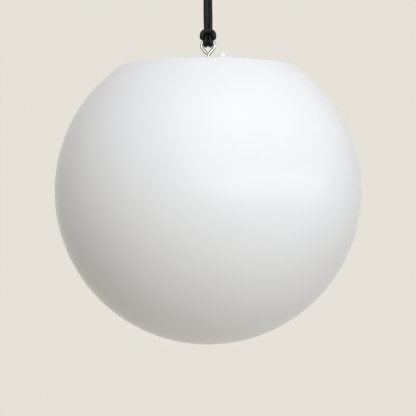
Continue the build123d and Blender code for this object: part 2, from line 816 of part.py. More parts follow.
# Board screws
with BuildPart() as board_screws:
    with BuildSketch(Plane.XY.offset(board_top_z)):
        with GridLocations(2 * standoff_x, 2 * standoff_y, 2, 2):
            Circle(small_screw_head_diameter / 2)
    extrude(amount=small_screw_head_height)
    with BuildSketch(Plane.XY.offset(board_top_z)):
        with GridLocations(2 * standoff_x, 2 * standoff_y, 2, 2):
            Circle(small_screw_diameter / 2)
    extrude(amount=-small_screw_grip)
board_screws.part.label = "board_screws"
export_step(board_screws.part, "parts/board_screws.step")

# Board parts: lead plugs, a coil, a capacitor and two chips
switch_plug = (plug_x, -plug_y)
port_plug = (-plug_x, plug_y)
battery_plug_x = board_length / 2 - plug_length / 2 - plug_inset
with BuildPart() as board_parts:
    with BuildSketch(Plane.XY.offset(board_top_z)):
        with Locations(switch_plug, port_plug, (battery_plug_x, 0), (-battery_plug_x, 0)):
            Rectangle(plug_length, plug_width)
    extrude(amount=plug_height)
    with BuildSketch(Plane.XY.offset(board_top_z)):
        with Locations((plug_x, plug_y)):
            Circle(coil_diameter / 2)
    extrude(amount=coil_height)
    with BuildSketch(Plane.XY.offset(board_top_z)):
        with Locations((-plug_x, -plug_y)):
            Circle(capacitor_diameter / 2)
    extrude(amount=capacitor_height)
    with BuildSketch(Plane.XY.offset(board_top_z)):
        with Locations((0, -chip_y), (0, chip_y)):
            Rectangle(chip_size, chip_size)
    extrude(amount=chip_height)
board_parts.part.label = "board_parts"
export_step(board_parts.part, "parts/board_parts.step")

# Battery leads: from each tab up beside the cells to its plug
tab_x = cell_length / 2 + tab_thickness
lead_x = (tab_x + housing_bore) / 2
lead_z = board_top_z + plug_height / 2
with BuildPart() as battery_leads:
    for side in (-1, 1):
        lead_points = [
            (side * tab_x, 0, cell_z),
            (side * lead_x, 0, cell_z),
            (side * lead_x, 0, lead_z),
            (side * (battery_plug_x + plug_length / 2), 0, lead_z),
        ]
        with BuildLine() as battery_line:
            FilletPolyline(*lead_points, radius=corner_radii(lead_points))
        with BuildSketch(Plane(origin=lead_points[0], z_dir=(side, 0, 0))):
            Circle(lead_diameter / 2)
        sweep(path=battery_line.line)
battery_leads.part.label = "battery_leads"
export_step(battery_leads.part, "parts/battery_leads.step")

# Switch lead: from the switch's terminals to its plug
lead_end = lead_end_share * lead_room
switch_points = [
    (switch_x, switch_y, switch_end_z),
    (switch_x, switch_y, switch_end_z - lead_end),
    (switch_plug[0], switch_plug[1], plug_top_z + lead_end),
    (switch_plug[0], switch_plug[1], plug_top_z),
]
with BuildPart() as switch_lead:
    with BuildLine() as switch_line:
        FilletPolyline(*switch_points, radius=corner_radii(switch_points))
    with BuildSketch(Plane(origin=switch_points[0], z_dir=(0, 0, -1))):
        Circle(lead_diameter / 2)
    sweep(path=switch_line.line)
    with BuildSketch(Plane.XY.offset(switch_end_z)):
        with Locations((switch_x, switch_y)):
            SlotCenterToCenter(terminal_pitch, lead_diameter)
    extrude(amount=-lead_diameter)
switch_lead.part.label = "switch_lead"
export_step(switch_lead.part, "parts/switch_lead.step")

# Port lead: from the port board to its plug
port_end_z = socket_z - board_thickness
port_points = [
    (port_x, port_y, port_end_z),
    (port_x, port_y, port_end_z - lead_end),
    (port_plug[0], port_plug[1], plug_top_z + lead_end),
    (port_plug[0], port_plug[1], plug_top_z),
]
with BuildPart() as port_lead:
    with BuildLine() as port_line:
        FilletPolyline(*port_points, radius=corner_radii(port_points))
    with BuildSketch(Plane(origin=port_points[0], z_dir=(0, 0, -1))):
        Circle(lead_diameter / 2)
    sweep(path=port_line.line)
port_lead.part.label = "port_lead"
export_step(port_lead.part, "parts/port_lead.step")

# Light lead: straight down from the control board, through the floor, to the light board
with BuildPart() as led_lead:
    with BuildSketch(Plane.XY.offset(housing_z)):
        with Locations((0, -led_lead_y)):
            Circle(lead_diameter / 2)
    extrude(amount=board_z - housing_z)
led_lead.part.label = "led_lead"
export_step(led_lead.part, "parts/led_lead.step")

# Light board: a metal disc under the housing's floor
led_board_radius = housing_radius - led_board_inset
with BuildPart() as led_board:
    with BuildSketch(Plane.XY.offset(led_board_z)):
        Circle(led_board_radius)
        with PolarLocations(led_screw_radius, led_screw_count, led_screw_angle):
            Circle(small_screw_diameter / 2 + loose_hole_gap, mode=Mode.SUBTRACT)
    extrude(amount=board_thickness)
led_board.part.label = "led_board"
export_step(led_board.part, "parts/led_board.step")

# Light screws: hold the light board to the floor
with BuildPart() as led_screws:
    with BuildSketch(Plane.XY.offset(led_board_z)):
        with PolarLocations(led_screw_radius, led_screw_count, led_screw_angle):
            Circle(small_screw_head_diameter / 2)
    extrude(amount=-small_screw_head_height)
    with BuildSketch(Plane.XY.offset(led_board_z)):
        with PolarLocations(led_screw_radius, led_screw_count, led_screw_angle):
            Circle(small_screw_diameter / 2)
    extrude(amount=board_thickness + housing_floor - 2 * screw_tip_gap)
led_screws.part.label = "led_screws"
export_step(led_screws.part, "parts/led_screws.step")

# Light chips: two rings round a middle one
with BuildPart() as leds:
    with BuildSketch(Plane.XY.offset(led_board_z)):
        Rectangle(led_size, led_size)
        with PolarLocations(led_inner_radius, led_inner_count):
            Rectangle(led_size, led_size)
        with PolarLocations(led_board_radius - led_edge, led_outer_count):
            Rectangle(led_size, led_size)
    extrude(amount=-led_height)
leds.part.label = "leds"
export_step(leds.part, "parts/leds.step")

# Lens: a diffusing dome that slides over the housing's foot
lens_rim_z = housing_z - lens_skirt
with BuildPart() as lens:
    with BuildSketch(Plane.XZ):
        with BuildLine():
            Polyline(
                (lens_bore, lens_rim_z),
                (lens_bore, shoulder_z),
                (lens_radius, shoulder_z),
                (lens_radius, lens_rim_z),
            )
            ThreePointArc(
                (lens_radius, lens_rim_z),
                dome_middle(lens_radius, lens_dome_depth, lens_rim_z),
                (0, lens_rim_z - lens_dome_depth),
            )
            Line((0, lens_rim_z - lens_dome_depth), (0, lens_rim_z - lens_dome_depth + lens_wall))
            ThreePointArc(
                (0, lens_rim_z - lens_dome_depth + lens_wall),
                dome_middle(lens_bore, lens_dome_depth - lens_wall, lens_rim_z),
                (lens_bore, lens_rim_z),
            )
        make_face()
    revolve(axis=Axis.Z)
lens.part.label = "lens"
export_step(lens.part, "parts/lens.step")

# Ceiling hook: one bent wire with a collar, a screw shank and a point
hook_angle = cord_twist - 90
hook_plane = Plane(
    origin=(0, 0, 0),
    x_dir=(math.cos(math.radians(hook_angle)), math.sin(math.radians(hook_angle)), 0),
    z_dir=(math.sin(math.radians(hook_angle)), -math.cos(math.radians(hook_angle)), 0),
)
hook_corner = hook_radius * math.sqrt(0.5)
with BuildPart() as ceiling_hook:
    with BuildLine(hook_plane) as hook_line:
        FilletPolyline(
            (0, 0),
            (0, -hook_neck),
            (-hook_corner, hook_centre_z + hook_corner),
            radius=hook_bend_radius,
        )
        CenterArc((0, hook_centre_z), hook_radius, 135, 225 + hook_mouth_angle)
    with BuildSketch(Plane.XY):
        Circle(hook_wire / 2)
    sweep(path=hook_line.line)
    with BuildSketch(Plane.XY):
        Circle(hook_collar_diameter / 2)
    extrude(amount=-hook_collar_thickness)
    with BuildSketch(Plane.XY):
        Circle(hook_wire / 2)
    extrude(amount=hook_screw_length)
    with Locations((0, 0, hook_screw_length)):
        Cone(
            hook_wire / 2,
            hook_point_diameter / 2,
            hook_point_length,
            align=(Align.CENTER, Align.CENTER, Align.MIN),
        )
ceiling_hook.part.label = "ceiling_hook"
export_step(ceiling_hook.part, "parts/ceiling_hook.step")

# Hitch: both strands go down before the eye, under it, up behind, and round themselves as one arch
hitch_run_z = hitch_rise - eye_radius
hitch_half = [
    (hitch_lane, 1.3, 7.8),
    (hitch_lane, -5.2, 1.45),
    (hitch_lane, -5.2, hitch_run_z),
    (hitch_lane, 5.85, hitch_run_z),
    (hitch_lane, 5.85, 2.2),
    (6.45, 1.15, 4.5),
    (6.45, -5.6, -0.35),
    (6.5, -8.25, 5.4),
    (2.0, -5.7, 7.0),
]
bight_radius = hook_wire / 2 + cord_gap + cord_diameter / 2
bight_corner = bight_radius * math.tan(math.radians(octagon_turn / 2))
across = Vector(math.cos(math.radians(cord_twist)), math.sin(math.radians(cord_twist)), 0)
hook_seat = Vector(0, 0, hook_seat_z)
up = Vector(0, 0, 1)
left_bight = hook_seat - across * bight_radius + up * bight_corner
right_bight = hook_seat + across * bight_radius + up * bight_corner
left_crown = hook_seat - across * bight_corner + up * bight_radius
right_crown = hook_seat + across * bight_corner + up * bight_radius
left_hitch = [Vector(-x, y, eye_top_z + z) for x, y, z in hitch_half]
right_hitch = [Vector(x, y, eye_top_z + z) for x, y, z in hitch_half]
join_share = (eye_top_z + hitch_top - left_hitch[0].Z) / (left_bight.Z - left_hitch[0].Z)
left_join = left_hitch[0] + (left_bight - left_hitch[0]) * join_share
right_join = right_hitch[0] + (right_bight - right_hitch[0]) * join_share
hitch_points = [left_join, *left_hitch, *reversed(right_hitch), right_join]
hitch_points = [tuple(point) for point in hitch_points]
hitch_radii = corner_radii(hitch_points)
with BuildPart() as cord_hitch:
    with BuildLine() as hitch_line:
        FilletPolyline(*hitch_points, radius=hitch_radii)
    with BuildSketch(Plane(origin=left_join, z_dir=left_hitch[0] - left_join)):
        Circle(hitch_cord_diameter / 2)
    sweep(path=hitch_line.line)
cord_hitch.part.label = "cord_hitch"
export_step(cord_hitch.part, "parts/cord_hitch.step")

# Strands: from the hitch up, over the hook and down to the hitch again
strand_points = [left_join, left_bight, left_crown, right_crown, right_bight, right_join]
strand_points = [tuple(point) for point in strand_points]
strand_radii = corner_radii(strand_points)
with BuildPart() as cord_strands:
    with BuildLine() as strand_line:
        FilletPolyline(*strand_points, radius=strand_radii)
    with BuildSketch(Plane(origin=left_join, z_dir=left_bight - left_join)):
        Circle(cord_diameter / 2)
    sweep(path=strand_line.line)
cord_strands.part.label = "cord_strands"
export_step(cord_strands.part, "parts/cord_strands.step")

# Printed: the levels, the cord's radii and volumes, and the hitch's least gap to itself
print("levels: eye top", eye_top_z, "hub top", hub_top_z, "flat", flat_z, "globe centre", globe_centre_z)
print("hitch radii", [round(radius, 2) for radius in hitch_radii])
print("strand radii", [round(radius, 2) for radius in strand_radii])
for name, line, part, diameter in (
    ("hitch", hitch_line, cord_hitch.part, hitch_cord_diameter),
    ("strands", strand_line, cord_strands.part, cord_diameter),
):
    length = sum(edge.length for edge in line.edges())
    share = part.volume / (length * math.pi * diameter**2 / 4)
    print(name, "length", round(length, 2), "volume share", round(share, 4))
hitch_wire = hitch_line.wires()[0]
sample_count = 400
samples = [hitch_wire.position_at(step / sample_count) for step in range(sample_count + 1)]
apart = math.ceil(2 * hitch_cord_diameter / hitch_wire.length * sample_count)
least = min(
    (samples[first] - samples[second]).length
    for first in range(sample_count + 1)
    for second in range(first + apart, sample_count + 1)
)
print("hitch least gap to itself", round(least - hitch_cord_diameter, 2))
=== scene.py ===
import json
import math

import bmesh
import bpy
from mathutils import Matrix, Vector


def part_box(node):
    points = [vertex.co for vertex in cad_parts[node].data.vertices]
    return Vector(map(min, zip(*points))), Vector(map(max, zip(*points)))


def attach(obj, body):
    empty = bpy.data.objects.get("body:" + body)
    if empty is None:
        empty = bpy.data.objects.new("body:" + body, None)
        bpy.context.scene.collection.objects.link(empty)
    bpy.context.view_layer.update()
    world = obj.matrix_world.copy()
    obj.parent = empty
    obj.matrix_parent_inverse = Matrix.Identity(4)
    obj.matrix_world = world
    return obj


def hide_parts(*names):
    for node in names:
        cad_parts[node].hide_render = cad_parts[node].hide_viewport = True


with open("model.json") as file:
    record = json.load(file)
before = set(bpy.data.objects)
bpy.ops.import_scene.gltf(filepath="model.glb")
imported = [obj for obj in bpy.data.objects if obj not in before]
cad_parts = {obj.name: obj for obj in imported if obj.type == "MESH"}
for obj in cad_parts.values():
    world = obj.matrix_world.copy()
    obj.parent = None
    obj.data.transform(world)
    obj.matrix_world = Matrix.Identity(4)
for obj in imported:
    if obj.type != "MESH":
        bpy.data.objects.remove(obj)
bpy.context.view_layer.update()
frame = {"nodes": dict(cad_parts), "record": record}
nodes = frame["nodes"]

# Sizes, in metres, as in the part's source
MM = 0.001
GLOBE_RADIUS = 150.0 * MM
GLOBE_WALL = 3.0 * MM
GLOBE_EDGE = 12.0 * MM
MOUTH_RADIUS = 52.033 * MM
RECESS_RADIUS = 67.033 * MM
COLLAR_DEPTH = 10.0 * MM
EYE_WIRE = 3.2 * MM
EYE_RADIUS = 6.3 * MM
EYE_NECK = math.radians(39.0)
EYE_BEND = 4.0 * MM
EYE_END_GAP = 0.3 * MM
HOOK_WIRE = 4.0 * MM
HOOK_RADIUS = 11.0 * MM
HOOK_NECK = 10.0 * MM
HOOK_BEND = 5.0 * MM
HOOK_ANGLE = math.radians(-30.0)
HOOK_MOUTH = math.radians(20.0)
HOOK_COLLAR = 6.5 * MM
HOOK_SCREW = 20.0 * MM
HOOK_POINT = 4.0 * MM
CORD = 4.5 * MM

# Levels, from the frame's own boxes
FLAT_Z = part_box("globe")[1].z
GLOBE_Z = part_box("globe")[0].z + GLOBE_RADIUS
RECESS_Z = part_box("cover_gasket")[0].z
EYE_TOP_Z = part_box("eye_bolt")[1].z - EYE_WIRE / 2
EYE_END_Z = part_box("eye_bolt")[0].z
HOOK_Z = -HOOK_NECK - HOOK_RADIUS * math.sqrt(2)
HOOK_SEAT_Z = HOOK_Z - HOOK_RADIUS

# Mesh helpers
MERGE_DISTANCE = 1e-7
WELD_DISTANCE = 1e-6
FLAT_ANGLE = math.radians(0.5)
BEVEL_ANGLE = math.radians(35.0)
BEVEL_SEGMENTS = 3
BEVEL_ROUND = 0.5


def add_object(name, verts, faces):
    """A new smooth-shaded mesh object in the scene."""
    mesh = bpy.data.meshes.new(name)
    mesh.from_pydata([tuple(vert) for vert in verts], [], faces)
    mesh.validate()
    mesh.update()
    piece = bpy.data.objects.new(name, mesh)
    bpy.context.scene.collection.objects.link(piece)
    mesh.polygons.foreach_set("use_smooth", [True] * len(mesh.polygons))
    return piece


def turned(rows, centre=(0, 0)):
    """Vertices and faces of closed rows of (radius, z) that stand in even steps round an upright axis."""
    segments = len(rows)
    count = len(rows[0])
    verts = []
    faces = []
    for step, row in enumerate(rows):
        angle = 2 * math.pi * step / segments
        here = step * count
        there = (step + 1) % segments * count
        for i, (radius, z) in enumerate(row):
            j = (i + 1) % count
            x = centre[0] + radius * math.cos(angle)
            y = centre[1] + radius * math.sin(angle)
            verts.append((x, y, z))
            faces.append((here + i, there + i, there + j, here + j))
    return verts, faces


def revolved(profile, segments, centre=(0, 0)):
    """Vertices and faces of a closed profile of (radius, z) turned round an upright axis."""
    return turned([profile] * segments, centre)


def merged(piece):
    """Joins the vertices that coincide, such as those on a revolve's axis, and drops faces of no area."""
    work = bmesh.new()
    work.from_mesh(piece.data)
    bmesh.ops.remove_doubles(work, verts=work.verts, dist=MERGE_DISTANCE)
    bmesh.ops.dissolve_degenerate(work, edges=work.edges, dist=MERGE_DISTANCE)
    bmesh.ops.recalc_face_normals(work, faces=work.faces)
    work.to_mesh(piece.data)
    work.free()
    return piece


def arc(centre, radius, start, end, steps):
    """Points of an arc in a plane, angles in degrees, both ends in."""
    points = []
    for step in range(steps + 1):
        angle = math.radians(start + (end - start) * step / steps)
        points.append((centre[0] + radius * math.cos(angle), centre[1] + radius * math.sin(angle)))
    return points


def steel_run(start, end, steps):
    """Points of a straight length of steel wire in a plane, both ends in."""
    points = []
    for step in range(steps + 1):
        share = step / steps
        points.append((start[0] + (end[0] - start[0]) * share, start[1] + (end[1] - start[1]) * share))
    return points


def path_length(points):
    """The length of a line through the points."""
    return sum((b - a).length for a, b in zip(points, points[1:]))


def tube(path, around, radius_at):
    """Vertices and faces of a closed tube along the path. radius_at(length, angle) gives its radius."""
    count = len(path)
    tangents = []
    for i in range(count):
        tangents.append((path[min(i + 1, count - 1)] - path[max(i - 1, 0)]).normalized())
    normal = tangents[0].orthogonal().normalized()
    length = 0.0
    verts = []
    faces = []
    for i in range(count):
        if i:
            length += (path[i] - path[i - 1]).length
            normal = tangents[i - 1].rotation_difference(tangents[i]) @ normal
            normal = (normal - tangents[i] * normal.dot(tangents[i])).normalized()
        side = tangents[i].cross(normal)
        for j in range(around):
            angle = 2 * math.pi * j / around
            radius = radius_at(length, angle)
            verts.append(path[i] + (normal * math.cos(angle) + side * math.sin(angle)) * radius)
    for i in range(count - 1):
        for j in range(around):
            k = (j + 1) % around
            faces.append((i * around + j, i * around + k, (i + 1) * around + k, (i + 1) * around + j))
    faces.append(tuple(reversed(range(around))))
    faces.append(tuple(range((count - 1) * around, count * around)))
    return verts, faces


def thread_fall(length, angle, pitch):
    """How far a screw thread has fallen at a place on its shank, from 0 at the crest to 1 at the root."""
    phase = (length / pitch - angle / (2 * math.pi)) % 1.0
    return abs(2 * phase - 1)


def bevelled(node, width):
    """A copy of a CAD node with its sharp edges rounded."""
    piece = bpy.data.objects.new(node + "_finish", nodes[node].data.copy())
    bpy.context.scene.collection.objects.link(piece)
    work = bmesh.new()
    work.from_mesh(piece.data)
    bmesh.ops.remove_doubles(work, verts=work.verts, dist=WELD_DISTANCE)
    bmesh.ops.dissolve_limit(
        work,
        angle_limit=FLAT_ANGLE,
        verts=work.verts,
        edges=work.edges,
    )
    sharp = [
        edge for edge in work.edges
        if len(edge.link_faces) == 2 and edge.calc_face_angle() > BEVEL_ANGLE
    ]
    bmesh.ops.bevel(
        work,
        geom=sharp,
        offset=width,
        offset_type="OFFSET",
        segments=BEVEL_SEGMENTS,
        profile=BEVEL_ROUND,
        affect="EDGES",
        clamp_overlap=True,
    )
    for face in work.faces:
        face.smooth = True
    work.to_mesh(piece.data)
    work.free()
    modifier = piece.modifiers.new("normals", "WEIGHTED_NORMAL")
    modifier.keep_sharp = True
    return piece


def spline_points(route, resolution):
    """Points read from a smooth spline that has the route as its control points."""
    data = bpy.data.curves.new("route", "CURVE")
    data.dimensions = "3D"
    data.resolution_u = resolution
    spline = data.splines.new("NURBS")
    spline.points.add(len(route) - 1)
    for point, place in zip(spline.points, route):
        point.co = (*place, 1.0)
    spline.order_u = 3
    spline.use_endpoint_u = True
    holder = bpy.data.objects.new("route", data)
    mesh = bpy.data.meshes.new_from_object(holder)
    points = [vertex.co.copy() for vertex in mesh.vertices]
    bpy.data.objects.remove(holder)
    bpy.data.curves.remove(data)
    bpy.data.meshes.remove(mesh)
    return points


# Material helpers: scales are per metre, depths in metres
NOISE_LOW = 0.3
NOISE_HIGH = 0.7
MOTTLE_DETAIL = 4.0
GRAIN_DETAIL = 3.0
PLASTIC_MOTTLE = 40.0
PLASTIC_GRAIN_DEPTH = 0.0002
METAL_MOTTLE = 220.0
METAL_GRAIN = 900.0
METAL_GRAIN_STRENGTH = 0.08
METAL_GRAIN_DEPTH = 0.0001
METAL_STRETCH = (1, 1, 12)


def shader_of(material):
    """The material's main shader."""
    return material.node_tree.nodes["Principled BSDF"]


def new_material(name, color, roughness, metallic=0.0):
    """A material with its shader's constant values set."""
    material = bpy.data.materials.new(name)
    material.use_nodes = True
    material.diffuse_color = (*color, 1.0)
    shader = shader_of(material)
    shader.inputs["Base Color"].default_value = (*color, 1.0)
    shader.inputs["Roughness"].default_value = roughness
    shader.inputs["Metallic"].default_value = metallic
    return material


def mottle(material, scale, low, high, rough_low, rough_high):
    """Lets a soft noise vary the colour between two tones and the roughness between two values."""
    tree = material.node_tree
    shader = shader_of(material)
    place = tree.nodes.new("ShaderNodeTexCoord")
    noise = tree.nodes.new("ShaderNodeTexNoise")
    noise.inputs["Scale"].default_value = scale
    noise.inputs["Detail"].default_value = MOTTLE_DETAIL
    tree.links.new(place.outputs["Object"], noise.inputs["Vector"])
    ramp = tree.nodes.new("ShaderNodeValToRGB")
    ramp.color_ramp.elements[0].position = NOISE_LOW
    ramp.color_ramp.elements[0].color = (*low, 1.0)
    ramp.color_ramp.elements[1].position = NOISE_HIGH
    ramp.color_ramp.elements[1].color = (*high, 1.0)
    tree.links.new(noise.outputs["Fac"], ramp.inputs["Fac"])
    tree.links.new(ramp.outputs["Color"], shader.inputs["Base Color"])
    spread = tree.nodes.new("ShaderNodeMapRange")
    spread.inputs["From Min"].default_value = NOISE_LOW
    spread.inputs["From Max"].default_value = NOISE_HIGH
    spread.inputs["To Min"].default_value = rough_low
    spread.inputs["To Max"].default_value = rough_high
    tree.links.new(noise.outputs["Fac"], spread.inputs["Value"])
    tree.links.new(spread.outputs["Result"], shader.inputs["Roughness"])
    return place


def grain(material, place, scale, strength, distance, stretch=(1, 1, 1)):
    """A fine noise as a shallow bump, stretched along an axis where asked."""
    tree = material.node_tree
    mapping = tree.nodes.new("ShaderNodeMapping")
    mapping.inputs["Scale"].default_value = stretch
    tree.links.new(place.outputs["Object"], mapping.inputs["Vector"])
    noise = tree.nodes.new("ShaderNodeTexNoise")
    noise.inputs["Scale"].default_value = scale
    noise.inputs["Detail"].default_value = GRAIN_DETAIL
    tree.links.new(mapping.outputs["Vector"], noise.inputs["Vector"])
    bump = tree.nodes.new("ShaderNodeBump")
    bump.inputs["Strength"].default_value = strength
    bump.inputs["Distance"].default_value = distance
    tree.links.new(noise.outputs["Fac"], bump.inputs["Height"])
    tree.links.new(bump.outputs["Normal"], shader_of(material).inputs["Normal"])


def plastic(name, low, high, roughness, bump_scale=900.0, bump_strength=0.12, spread=0.04):
    """A moulded plastic or rubber, faintly uneven in tone and gloss, with a fine grain."""
    material = new_material(name, high, roughness)
    place = mottle(material, PLASTIC_MOTTLE, low, high, roughness - spread, roughness + spread)
    grain(material, place, bump_scale, bump_strength, PLASTIC_GRAIN_DEPTH)
    return material


def metal(name, low, high, rough_low, rough_high):
    """A metal, uneven in tone and gloss, with fine marks drawn round the upright axis."""
    material = new_material(name, high, rough_high, metallic=1.0)
    place = mottle(material, METAL_MOTTLE, low, high, rough_low, rough_high)
    grain(material, place, METAL_GRAIN, METAL_GRAIN_STRENGTH, METAL_GRAIN_DEPTH, METAL_STRETCH)
    return material


# Materials, by the record's slots, with each one's darker and lighter tone
PLASTICS = {
    "opal_globe": dict(
        low=(0.881, 0.881, 0.881),
        high=(0.887, 0.887, 0.887),
        roughness=0.21,
        bump_scale=700.0,
        bump_strength=0.04,
        spread=0.01,
    ),
    "white_cover": dict(
        low=(0.80, 0.80, 0.79),
        high=(0.86, 0.86, 0.85),
        roughness=0.42,
        bump_scale=1400.0,
        bump_strength=0.25,
    ),
    "white_switch": dict(low=(0.87, 0.87, 0.87), high=(0.90, 0.90, 0.90), roughness=0.24, bump_strength=0.05),
    "inner_plastic": dict(low=(0.70, 0.70, 0.68), high=(0.78, 0.78, 0.76), roughness=0.5),
    "circuit_board": dict(
        low=(0.02, 0.11, 0.04),
        high=(0.03, 0.16, 0.06),
        roughness=0.4,
        bump_scale=500.0,
        bump_strength=0.2,
    ),
    "dark_components": dict(low=(0.010, 0.010, 0.011), high=(0.025, 0.025, 0.027), roughness=0.45),
    "lead_sleeve": dict(low=(0.30, 0.015, 0.012), high=(0.42, 0.03, 0.02), roughness=0.45),
    "light_chips": dict(low=(0.75, 0.60, 0.22), high=(0.86, 0.72, 0.34), roughness=0.3),
    "frosted_lens": dict(low=(0.78, 0.78, 0.77), high=(0.85, 0.85, 0.84), roughness=0.55),
    "light_board": dict(low=(0.76, 0.76, 0.75), high=(0.83, 0.83, 0.82), roughness=0.35),
    "cell_case": dict(low=(0.04, 0.08, 0.26), high=(0.06, 0.11, 0.33), roughness=0.35),
    "black_rubber": dict(
        low=(0.012, 0.012, 0.012),
        high=(0.022, 0.022, 0.022),
        roughness=0.68,
        bump_scale=1600.0,
        bump_strength=0.35,
    ),
}
METALS = {
    "polished_stainless": dict(
        low=(0.42, 0.415, 0.41),
        high=(0.50, 0.495, 0.49),
        rough_low=0.08,
        rough_high=0.16,
    ),
    "screw_steel": dict(low=(0.46, 0.46, 0.46), high=(0.58, 0.58, 0.57), rough_low=0.22, rough_high=0.36),
    "hook_steel": dict(low=(0.50, 0.50, 0.49), high=(0.60, 0.60, 0.59), rough_low=0.20, rough_high=0.34),
    "nickel": dict(low=(0.55, 0.53, 0.49), high=(0.63, 0.61, 0.57), rough_low=0.22, rough_high=0.36),
    "brass_inserts": dict(low=(0.48, 0.32, 0.10), high=(0.60, 0.42, 0.16), rough_low=0.25, rough_high=0.4),
}
slot_materials = {}
for slot, look in PLASTICS.items():
    slot_materials[slot] = plastic(slot, **look)
for slot, look in METALS.items():
    slot_materials[slot] = metal(slot, **look)
opal_inputs = shader_of(slot_materials["opal_globe"]).inputs
opal_inputs["Specular IOR Level"].default_value = 0.15
opal_inputs["Subsurface Weight"].default_value = 0.25
opal_inputs["Subsurface Radius"].default_value = (0.9, 0.8, 0.7)
opal_inputs["Subsurface Scale"].default_value = 0.006
stainless_inputs = shader_of(slot_materials["polished_stainless"]).inputs
stainless_inputs["Specular Tint"].default_value = (0.2, 0.2, 0.2, 1.0)

black_cord = new_material("black_cord", color=(0.014, 0.014, 0.015), roughness=0.5)
cord_place = mottle(
    black_cord,
    scale=900.0,
    low=(0.0015, 0.0015, 0.00156),
    high=(0.011, 0.011, 0.01133),
    rough_low=0.3,
    rough_high=0.44,
)
grain(black_cord, cord_place, scale=2600.0, strength=0.35, distance=0.0002)
shader_of(black_cord).inputs["Specular IOR Level"].default_value = 0.15
slot_materials["black_cord"] = black_cord


def dress(piece, slot):
    """Gives a piece the material of a slot, and no other."""
    piece.data.materials.clear()
    piece.data.materials.append(slot_materials[slot])


node_slots = {entry["node"]: entry["material_slot"] for entry in frame["record"]["subparts"]}
for node, piece in nodes.items():
    dress(piece, node_slots[node])


def stands_for(piece, body, node):
    """Gives a new piece its material, slot and body, and hides the CAD node that it stands for."""
    slot = node_slots[node]
    dress(piece, slot)
    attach(piece, body)
    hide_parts(node)


# Globe: the shell's profile in fine steps, with its lip rounded where the cover drops in
SEAT_EDGE = 0.8 * MM
OUTER_STEPS = 96
OUTER_EDGE_STEPS = 16
SEAT_EDGE_STEPS = 4
INNER_EDGE_STEPS = 8
INNER_STEPS = 48
GLOBE_SEGMENTS = 160
edge_z = FLAT_Z - GLOBE_EDGE
edge_r = math.sqrt((GLOBE_RADIUS - GLOBE_EDGE) ** 2 - (edge_z - GLOBE_Z) ** 2)
edge_angle = math.degrees(math.atan2(edge_z - GLOBE_Z, edge_r))
seat_under_z = RECESS_Z - GLOBE_WALL
collar_z = RECESS_Z - COLLAR_DEPTH
seat_edge_centre = (RECESS_RADIUS + SEAT_EDGE, FLAT_Z - SEAT_EDGE)
shell = arc((0, GLOBE_Z), GLOBE_RADIUS, -90, edge_angle, OUTER_STEPS)
shell += arc((edge_r, edge_z), GLOBE_EDGE, edge_angle, 90, OUTER_EDGE_STEPS)[1:]
shell += arc(seat_edge_centre, SEAT_EDGE, 90, 180, SEAT_EDGE_STEPS)
shell += [
    (RECESS_RADIUS, RECESS_Z),
    (MOUTH_RADIUS, RECESS_Z),
    (MOUTH_RADIUS, collar_z),
    (MOUTH_RADIUS + GLOBE_WALL, collar_z),
    (MOUTH_RADIUS + GLOBE_WALL, seat_under_z),
    (RECESS_RADIUS + GLOBE_WALL, seat_under_z),
    (RECESS_RADIUS + GLOBE_WALL, FLAT_Z - GLOBE_WALL),
]
shell += arc((edge_r, edge_z), GLOBE_EDGE - GLOBE_WALL, 90, edge_angle, INNER_EDGE_STEPS)
shell += arc((0, GLOBE_Z), GLOBE_RADIUS - GLOBE_WALL, edge_angle, -90, INNER_STEPS)[1:]
globe = merged(add_object("opal_globe_shell", *revolved(shell, GLOBE_SEGMENTS)))
stands_for(globe, "lamp", "globe")

# Cord: the route of the part's source, with points moved and added to follow the photograph
# The hitch's points are in millimetres from the top of the eye, and its other half is its mirror image
CORD_TWIST = math.radians(60.0)
BIGHT_GAP = 0.55 * MM
BIGHT_RADIUS = HOOK_WIRE / 2 + BIGHT_GAP + CORD / 2
BIGHT_TURN = math.radians(45.0)
BIGHT_CORNER = BIGHT_RADIUS * math.tan(BIGHT_TURN / 2)
HITCH_LANE = 2.25
LEFT_NECK = (-1.85, 0.2, 6.4)
RIGHT_NECK = (1.85, 1.6, 6.4)
HITCH_HALF = [
    (HITCH_LANE, -5.2, 1.45),
    (HITCH_LANE, -5.2, -6.0),
    (HITCH_LANE, 5.85, -6.0),
    (HITCH_LANE, 5.85, 2.2),
    (6.1, 0.35, 4.4),
    (5.9, -7.2, -1.1),
    (5.9, -8.0, 5.1),
    (2.0, -5.9, 7.1),
]
HITCH_JOIN = 8.4 * MM
STRAND_SPREAD = 17.0 * MM
NEAR_HOOK = 6 * CORD

# Moves of the strands' points: off the hook's wire, and sideways to follow the photograph
BIGHT_EASE = 0.3 * MM
LEFT_MOVE = Vector((-0.25, 0, 0)) * MM
RIGHT_JOIN_MOVE = Vector((0.3, 0, 0)) * MM
RIGHT_SPREAD_MOVE = Vector((0.5, 0, 0)) * MM
RIGHT_HOOK_MOVE = Vector((-0.3, 0, 0)) * MM

eye_top = Vector((0, 0, EYE_TOP_Z))
hook_seat = Vector((0, 0, HOOK_SEAT_Z))
across = Vector((math.cos(CORD_TWIST), math.sin(CORD_TWIST), 0))
up = Vector((0, 0, 1))
left_hitch = [eye_top + Vector(LEFT_NECK) * MM]
left_hitch += [eye_top + Vector((-x, y, z)) * MM for x, y, z in HITCH_HALF]
right_hitch = [eye_top + Vector(RIGHT_NECK) * MM]
right_hitch += [eye_top + Vector((x, y, z)) * MM for x, y, z in HITCH_HALF]
left_bight = hook_seat - across * BIGHT_RADIUS + up * BIGHT_CORNER
right_bight = hook_seat + across * BIGHT_RADIUS + up * BIGHT_CORNER
left_crown = hook_seat - across * BIGHT_CORNER + up * BIGHT_RADIUS
right_crown = hook_seat + across * BIGHT_CORNER + up * BIGHT_RADIUS


